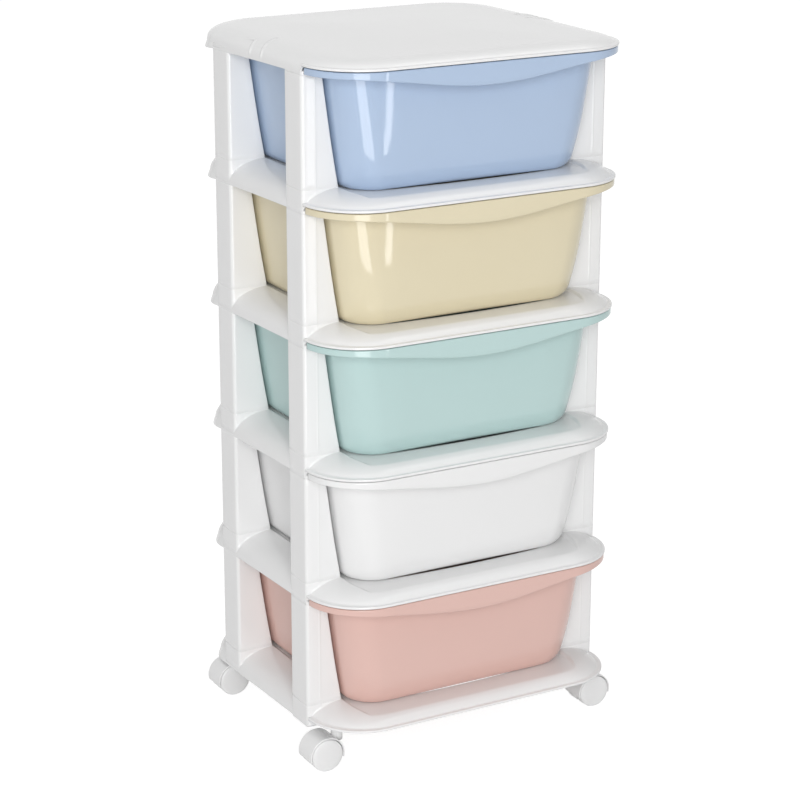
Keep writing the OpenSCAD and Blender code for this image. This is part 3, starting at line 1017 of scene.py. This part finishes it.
    def build(self, tier: int) -> bpy.types.Object:
        """Makes the drawer of a tier.

        The front columns, between the ends of the lip, carry the lip's rows and the others the
        plain rim's, so that the lip ends squarely.

        Args:
            tier: The drawer's tier, from 1.
        Returns:
            The piece.
        """
        full = Outline.around(30, np.linspace(-0.98, 0.98, 61), np.linspace(-0.97, 0.97, 21))
        y = full.sy * (self.depths[2] - self.corner_r) + full.dy * self.corner_r
        is_front = y < self.wing_y + 0.01
        first = int(np.argmax(is_front & ~np.roll(is_front, 1)))
        turned = np.roll(np.arange(len(y)), -first)
        count = int(is_front.sum())
        blocks = []
        for keep, lipped in ((turned[:count], True), (turned[count:], False)):
            o = Outline(full.sx[keep], full.sy[keep], full.dx[keep], full.dy[keep])
            lip = self.lip_rows(o)
            rim = lip if lipped else self.plain_rim(o, len(lip))
            inside = self.tub_rows(o, True)[::-1]
            blocks.append(np.concatenate([self.tub_rows(o, False), rim, inside]))
        skin = Skin.from_grid(np.concatenate(blocks, axis=1)).moved((0, 0, foot_level(tier)))
        node = f"drawer_{self.colour.value}"
        return make_piece(node, [skin], self.finish, f"{node}_body")


# ---- Casters ----


@dataclass(frozen=True)
class Casters:
    """Four twin-wheel casters: a hood with a web and neck, and two wheels each.

    Profiles are rows of pairs:
        hub: Radius, and how far out from the wheel's inner side.
        tread: How much less than the wheel's radius, and how far out.
        face: How much less than the wheel's radius, and how far within the wheel's width.
        neck: How much less than the neck's radius, and the height.
    """

    hood_finish: bpy.types.Material
    wheel_finish: bpy.types.Material
    trail: float = 20.0
    wheel_r: float = 20.0
    wheel_w: float = 15.0
    inner_y: float = 2.4
    hub: Rows = ((1.0, 0.2), (8.0, 0.2))
    tread: Rows = ((1.6, 0.2), (0.6, 0.5), (0.15, 1.1), (0.0, 1.8))
    face: Rows = (
        (0.0, 7.5), (0.0, 2.6), (0.1, 1.9), (0.45, 1.25), (1.0, 0.85), (1.5, 0.75), (1.9, 0.75),
        (2.3, 0.55), (3.2, 0.4), (6.0, 0.22), (10.0, 0.1), (15.0, 0.0), (19.0, 0.0))
    hood_r: float = 22.5
    hood_inner_r: float = 20.8
    hood_hw: float = 16.4
    hood_drop: float = 5.0
    web: float = 4.0
    web_bottom: float = -8.0
    web_overlap: float = 0.5
    neck_r: float = 7.0
    neck: Rows = ((0.0, 32.0), (0.0, 40.0), (0.0, 45.6), (0.2, 46.05), (0.6, 46.2))

    def hood(self) -> list[Skin]:
        """Makes the cover, the web and the neck, about an axle along Y through the origin.

        The cover is a rounded rectangular section of radius and width carried around the axle.

        Returns:
            The three skins of the rear right caster.
        """
        mid, half = (self.hood_r + self.hood_inner_r) / 2, (self.hood_r - self.hood_inner_r) / 2
        section = Outline.around(4, np.linspace(-0.6, 0.6, 3), np.linspace(-0.9, 0.9, 9))
        dr, dy = section.at(half, self.hood_hw, half * 0.8)
        end = math.asin(self.hood_drop / mid)
        arc = np.linspace(-end, math.pi + end, 73)
        turn = arc[:, None]
        cover = grid_of((mid + dr) * np.cos(turn), dy, (mid + dr) * np.sin(turn))
        r = self.hood_inner_r + self.web_overlap
        x, z = np.append(r * np.cos(arc), 0.0), np.append(r * np.sin(arc), self.web_bottom)
        web = grid_of(x, column(-self.web / 2, self.web / 2), z)
        less, height = np.array(self.neck).T
        neck = lathe(self.neck_r - less, height - self.wheel_r, (-self.trail, 0.0))
        return [Skin.from_grid(cover), Skin.from_grid(web), Skin.from_grid(neck)]

    def wheel(self) -> Skin:
        """Makes the wheel on the far side: a lathe profile of radius and width with a domed face.

        Returns:
            The wheel, about an axle along Y through the origin.
        """
        (hub_r, hub_w), (tread_in, tread_w), (face_in, face_back) = (
            np.array(rows).T for rows in (self.hub, self.tread, self.face))
        r = np.concatenate([hub_r, self.wheel_r - tread_in, self.wheel_r - face_in])
        w = np.concatenate([hub_w, tread_w, self.wheel_w - face_back])
        return Skin.from_grid(lathe(r, self.inner_y + w, (0.0, 0.0), 96)[..., [0, 2, 1]])

    def build(self) -> list[bpy.types.Object]:
        """Makes the hoods and wheels in all four corners.

        Returns:
            The pieces.
        """
        hood, wheel = self.hood(), self.wheel()
        pieces = []
        for corner, (x, y) in CORNERS.items():
            place = (x * (STEM_AT[0] + self.trail), y * STEM_AT[1], self.wheel_r)
            skins = [s.mirrored(x, y).moved(place) for s in hood]
            node, body = f"caster_hood_{corner}", f"caster_{corner}"
            pieces.append(make_piece(node, skins, self.hood_finish, body))
            for end, side in (("front", -1), ("rear", 1)):
                skins = [wheel.mirrored(1, side).moved(place)]
                node, body = f"caster_wheel_{end}_{corner}", f"wheel_{end}_{corner}"
                pieces.append(make_piece(node, skins, self.wheel_finish, body))
        return pieces


# ---- Finishes ----


def new_group(name: str, inputs: dict[str, float], output: str) -> tuple[Tree, bpy.types.Node]:
    """Makes a shader node group with number inputs and one number output.

    Args:
        name: The group's name.
        inputs: Each input's name and default.
        output: The output's name.
    Returns:
        The group and its input node.
    """
    group = bpy.data.node_groups.new(name, "ShaderNodeTree")
    for label, value in inputs.items():
        socket = group.interface.new_socket(label, in_out="INPUT", socket_type="NodeSocketFloat")
        socket.default_value = value
    group.interface.new_socket(output, in_out="OUTPUT", socket_type="NodeSocketFloat")
    group.nodes.new("NodeGroupOutput").name = "out"
    return group, group.nodes.new("NodeGroupInput")


def add_noise(tree: Tree, scale: float, detail: float, stretch: Triple) -> bpy.types.NodeSocket:
    """Adds noise over object coordinates.

    Args:
        tree: The tree that it goes into.
        scale: Its scale, in waves to a metre.
        detail: Its number of finer layers.
        stretch: How much closer it is along each axis.
    Returns:
        The noise, between 0 and 1.
    """
    where = tree.nodes.new("ShaderNodeTexCoord")
    mapping = tree.nodes.new("ShaderNodeMapping")
    mapping.inputs["Scale"].default_value = stretch
    noise = tree.nodes.new("ShaderNodeTexNoise")
    noise.inputs["Scale"].default_value = scale
    noise.inputs["Detail"].default_value = detail
    tree.links.new(where.outputs["Object"], mapping.inputs["Vector"])
    tree.links.new(mapping.outputs["Vector"], noise.inputs["Vector"])
    return noise.outputs["Fac"]


def add_math(tree: Tree, operation: str, a: object, b: object) -> bpy.types.NodeSocket:
    """Adds a Math node on two values.

    Args:
        tree: The tree that it goes into.
        operation: What it works out.
        a: The first value, a socket or a number.
        b: The second value.
    Returns:
        The result.
    """
    node = tree.nodes.new("ShaderNodeMath")
    node.operation = operation
    for socket, value in zip(node.inputs, (a, b)):
        if isinstance(value, bpy.types.NodeSocket):
            tree.links.new(value, socket)
        else:
            socket.default_value = value
    return node.outputs[0]


def moulded_ripple() -> Tree:
    """Makes the group for the faint waves and grain of a moulded skin.

    Returns:
        The group, which puts out a height: waves + 0.04 grain.
    """
    group, source = new_group("Moulded_Ripple", {"Waves": 1.0, "Grain": 1.0}, "Height")
    waves = add_noise(group, 9.0, 1.0, (1.0, 1.0, 0.6))
    grain = add_noise(group, 900.0, 2.0, (1.0, 1.0, 1.0))
    slow = add_math(group, "MULTIPLY", waves, source.outputs["Waves"])
    fine = add_math(group, "MULTIPLY", grain, source.outputs["Grain"])
    height = add_math(group, "ADD", slow, add_math(group, "MULTIPLY", fine, 0.04))
    group.links.new(height, group.nodes["out"].inputs["Height"])
    return group


def gloss_variation() -> Tree:
    """Makes the group for uneven gloss.

    Returns:
        The group, which puts out a roughness: the given one + spread (noise - 0.5).
    """
    group, source = new_group("Gloss_Variation", {"Roughness": 0.25, "Spread": 0.05}, "Roughness")
    cloud = add_noise(group, 14.0, 4.0, (1.0, 1.0, 1.0))
    centred = add_math(group, "SUBTRACT", cloud, 0.5)
    spread = add_math(group, "MULTIPLY", centred, source.outputs["Spread"])
    roughness = add_math(group, "ADD", source.outputs["Roughness"], spread)
    group.links.new(roughness, group.nodes["out"].inputs["Roughness"])
    return group


def pigment_cloud() -> Tree:
    """Makes the group for the slight unevenness of a pigment.

    Returns:
        The group, which puts out a mask: strength times noise.
    """
    group, source = new_group("Pigment_Cloud", {"Strength": 1.0}, "Mask")
    cloud = add_noise(group, 5.0, 3.0, (1.0, 1.0, 2.2))
    mask = add_math(group, "MULTIPLY", cloud, source.outputs["Strength"])
    group.links.new(mask, group.nodes["out"].inputs["Mask"])
    return group


def new_material(name: str) -> tuple[bpy.types.Material, Tree]:
    """Makes a material and returns it with its node tree.

    Args:
        name: The material's name.
    Returns:
        The material, with the nodes of a new one, and its tree.
    """
    material = bpy.data.materials.new(name)
    material.use_nodes = True
    return material, material.node_tree


def add_group(tree: Tree, group: Tree, **values: float) -> bpy.types.NodeSocket:
    """Adds a node group to a material.

    Args:
        tree: The material's tree.
        group: The group.
        values: The inputs that differ from their defaults.
    Returns:
        The group's output.
    """
    node = tree.nodes.new("ShaderNodeGroup")
    node.node_tree = group
    for label, value in values.items():
        node.inputs[label].default_value = value
    return node.outputs[0]


def add_bump(tree: Tree, height: bpy.types.NodeSocket, strength: float, distance: float) -> None:
    """Feeds a height to the Normal of a material's Principled BSDF.

    Args:
        tree: The material's tree.
        height: The height.
        strength: The bump's strength.
        distance: What a height of 1 stands for, in metres.
    """
    bump = tree.nodes.new("ShaderNodeBump")
    bump.inputs["Strength"].default_value = strength
    bump.inputs["Distance"].default_value = distance
    tree.links.new(height, bump.inputs["Height"])
    tree.links.new(bump.outputs["Normal"], tree.nodes["Principled BSDF"].inputs["Normal"])


def linear(code: str) -> Triple:
    """Returns a hex colour as linear values."""
    parts = [int(code[i:i + 2], 16) / 255 for i in (0, 2, 4)]
    return tuple(c / 12.92 if c <= 0.04045 else ((c + 0.055) / 1.055) ** 2.4 for c in parts)


@dataclass(frozen=True)
class MouldedPlastic:
    """Glossy injection-moulded plastic in one colour, which clouds a little into its shade."""

    name: str
    colour: str
    shade: str
    groups: dict[str, Tree]
    roughness: float = 0.16
    spread: float = 0.05
    grain: float = 1.0
    bump: Pair = (0.12, 0.0012)
    ior: float = 1.5

    def make(self) -> bpy.types.Material:
        """Builds the material.

        Returns:
            The material, with its Principled BSDF fed by the shared groups.
        """
        material, tree = new_material(self.name)
        shader = tree.nodes["Principled BSDF"]
        gloss = add_group(tree, self.groups["gloss"], Roughness=self.roughness, Spread=self.spread)
        blend = tree.nodes.new("ShaderNodeMix")
        blend.data_type = "RGBA"
        blend.inputs["A"].default_value = (*linear(self.colour), 1)
        blend.inputs["B"].default_value = (*linear(self.shade), 1)
        tree.links.new(add_group(tree, self.groups["cloud"]), blend.inputs["Factor"])
        tree.links.new(blend.outputs["Result"], shader.inputs["Base Color"])
        tree.links.new(gloss, shader.inputs["Roughness"])
        add_bump(tree, add_group(tree, self.groups["ripple"], Grain=self.grain), *self.bump)
        shader.inputs["IOR"].default_value = self.ior
        return material


@dataclass(frozen=True)
class DrawnSteel:
    """Bright drawn steel with a fine grain."""

    groups: dict[str, Tree]
    name: str = "drawn_steel"
    colour: Triple = (0.56, 0.57, 0.59)
    roughness: float = 0.3
    grain: float = 3.0
    bump: Pair = (0.2, 0.0005)

    def make(self) -> bpy.types.Material:
        """Builds the material.

        Returns:
            The material, with its Principled BSDF fed by the shared groups.
        """
        material, tree = new_material(self.name)
        shader = tree.nodes["Principled BSDF"]
        shader.inputs["Base Color"].default_value = (*self.colour, 1)
        shader.inputs["Metallic"].default_value = 1.0
        gloss = add_group(tree, self.groups["gloss"], Roughness=self.roughness)
        tree.links.new(gloss, shader.inputs["Roughness"])
        add_bump(tree, add_group(tree, self.groups["ripple"], Grain=self.grain), *self.bump)
        return material


# ---- Studio ----


@dataclass(frozen=True)
class Lamp:
    """A soft lamp aimed at a point; a gloss lamp shows only in reflections, the others never."""

    name: str
    place: Triple
    aim: Triple
    size: Pair
    power: float
    gloss: bool = False

    def hang(self) -> None:
        """Puts the lamp in the scene."""
        lamp = bpy.data.lights.new(self.name, "AREA")
        lamp.shape = "RECTANGLE"
        lamp.size, lamp.size_y = self.size
        lamp.energy = self.power
        holder = bpy.data.objects.new(self.name, lamp)
        holder.location = self.place
        way = Vector(self.aim) - Vector(self.place)
        holder.rotation_euler = way.to_track_quat("-Z", "Y").to_euler()
        holder.visible_camera = False
        holder.visible_diffuse = not self.gloss
        holder.visible_glossy = self.gloss
        bpy.context.scene.collection.objects.link(holder)


@dataclass(frozen=True)
class Studio:
    """Pale floor, white surroundings, soft lamps and the camera, in metres and degrees.

    To the camera and in reflections the floor shows its glow and a dim share of the light, so that
    it is white with a soft shadow, and the surroundings are white. To all other rays the floor is
    plain grey and the surroundings are softer.
    """

    camera_at: Triple = (-1.4057, -2.4660, 1.2890)
    pitch: float = 17.545
    roll: float = -0.096
    yaw: float = 29.447
    focal_px: float = 2450.0
    frame_px: float = 800.0
    sensor: float = 36.0
    clip: Pair = (0.05, 100.0)
    floor_half: float = 30.0
    plain: float = 0.8
    dim: float = 0.3
    glow: float = 0.9
    surround: float = 0.42
    lamps: tuple[Lamp, ...] = (
        Lamp("front", (-2.42, -4.18, 1.74), (0, 0, 0.45), (2.5, 2.5), 142.0),
        Lamp("top", (-0.3, -0.3, 3.6), (0, 0, 0.85), (2.0, 2.0), 20.0),
        Lamp("streak_left", (-0.497, -0.98, 0.85), (-0.145, -0.152, 0.85), (0.47, 1.44), 9.5,
             gloss=True),
        Lamp("streak_right", (0.365, -1.256, 0.66), (-0.115, -0.156, 0.66), (0.06, 0.98), 1.1,
             gloss=True),
        Lamp("gleam", (0.95, -0.59, 2.56), (0, -0.17, 0.85), (1.0, 0.6), 2.4, gloss=True),
    )

    @staticmethod
    def seen(tree: Tree) -> bpy.types.NodeSocket:
        """Adds a mask of the rays that show white: camera, glossy and transmission rays.

        Args:
            tree: The tree that it goes into.
        Returns:
            The mask.
        """
        ray = tree.nodes.new("ShaderNodeLightPath")
        both = add_math(tree, "MAXIMUM", ray.outputs["Is Camera Ray"], ray.outputs["Is Glossy Ray"])
        return add_math(tree, "MAXIMUM", both, ray.outputs["Is Transmission Ray"])

    def floor(self) -> None:
        """Makes the floor, which keeps the tower's soft shadow."""
        half = self.floor_half
        mesh = bpy.data.meshes.new("studio_floor")
        corners = [(-half, -half, 0), (half, -half, 0), (half, half, 0), (-half, half, 0)]
        mesh.from_pydata(corners, [], [(0, 1, 2, 3)])
        floor = bpy.data.objects.new("studio_floor", mesh)
        bpy.context.scene.collection.objects.link(floor)
        material, tree = new_material("studio_paper")
        tree.nodes.clear()
        out = tree.nodes.new("ShaderNodeOutputMaterial")
        plain, dim = (tree.nodes.new("ShaderNodeBsdfDiffuse") for _ in range(2))
        plain.inputs["Color"].default_value = (self.plain, self.plain, self.plain, 1)
        dim.inputs["Color"].default_value = (self.dim, self.dim, self.dim, 1)
        glow = tree.nodes.new("ShaderNodeEmission")
        glow.inputs["Strength"].default_value = self.glow
        lit = tree.nodes.new("ShaderNodeAddShader")
        switch = tree.nodes.new("ShaderNodeMixShader")
        link = tree.links.new
        link(dim.outputs[0], lit.inputs[0])
        link(glow.outputs[0], lit.inputs[1])
        link(self.seen(tree), switch.inputs[0])
        link(plain.outputs[0], switch.inputs[1])
        link(lit.outputs[0], switch.inputs[2])
        link(switch.outputs[0], out.inputs["Surface"])
        mesh.materials.append(material)

    def world(self) -> None:
        """Makes the surroundings."""
        world = bpy.data.worlds.new("studio_white")
        bpy.context.scene.world = world
        world.use_nodes = True
        tree = world.node_tree
        back = tree.nodes["Background"]
        level = tree.nodes.new("ShaderNodeMix")
        level.data_type = "FLOAT"
        level.inputs["A"].default_value = self.surround
        level.inputs["B"].default_value = 1.0
        tree.links.new(self.seen(tree), level.inputs["Factor"])
        tree.links.new(level.outputs[0], back.inputs["Strength"])
        back.inputs["Color"].default_value = (1, 1, 1, 1)

    def camera(self) -> None:
        """Sets up the camera."""
        lens = bpy.data.cameras.new("camera")
        lens.sensor_width = self.sensor
        lens.lens = self.focal_px / self.frame_px * self.sensor
        lens.clip_start, lens.clip_end = self.clip
        camera = bpy.data.objects.new("camera", lens)
        camera.location = self.camera_at
        turns = (90 - self.pitch, self.roll, -self.yaw)
        camera.rotation_euler = Euler([math.radians(turn) for turn in turns])
        bpy.context.scene.collection.objects.link(camera)
        bpy.context.scene.camera = camera

    def build(self) -> None:
        """Makes the whole studio."""
        self.camera()
        self.floor()
        self.world()
        for lamp in self.lamps:
            lamp.hang()
        bpy.context.scene.view_settings.view_transform = "Standard"


def main() -> None:
    """Builds every class in order."""
    logging.basicConfig(level=logging.INFO, format="%(name)s: %(message)s")
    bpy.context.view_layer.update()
    Studio().build()
    groups = {"ripple": moulded_ripple(), "gloss": gloss_variation(), "cloud": pigment_cloud()}
    white = MouldedPlastic("frame_white", "ECECEC", "E9E9E9", groups).make()
    hood = MouldedPlastic("caster_hood", "EFEFEF", "EAEAEA", groups, roughness=0.28).make()
    wheel = MouldedPlastic(
        "caster_wheel", "ECECEC", "E6E6E6", groups, roughness=0.38, grain=2.0).make()
    steel = DrawnSteel(groups).make()
    tints = {
        DrawerColour.PINK: ("DFBBB2", "DBB6AC"),
        DrawerColour.WHITE: ("EBEBEB", "E8E8E8"),
        DrawerColour.TEAL: ("BBD4D2", "B6D0CE"),
        DrawerColour.YELLOW: ("DFD5B8", "DBD0B1"),
        DrawerColour.BLUE: ("AFC2DB", "ABBED8"),
    }
    ShelfFrame(white).build()
    TopPanel(white).build()
    CornerPosts(white).build()
    for tier, colour in enumerate(DrawerColour, 1):
        finish = MouldedPlastic(
            f"drawer_{colour.value}", *tints[colour], groups, roughness=0.06, spread=0.02)
        Drawer(colour, finish.make()).build(tier)
    Casters(hood, wheel).build()
    for corner in CORNERS:
        for part in ("stem", "axle"):
            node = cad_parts[f"caster_{part}_{corner}"]
            node.data.materials.clear()
            node.data.materials.append(steel)


if __name__ == "__main__":
    main()
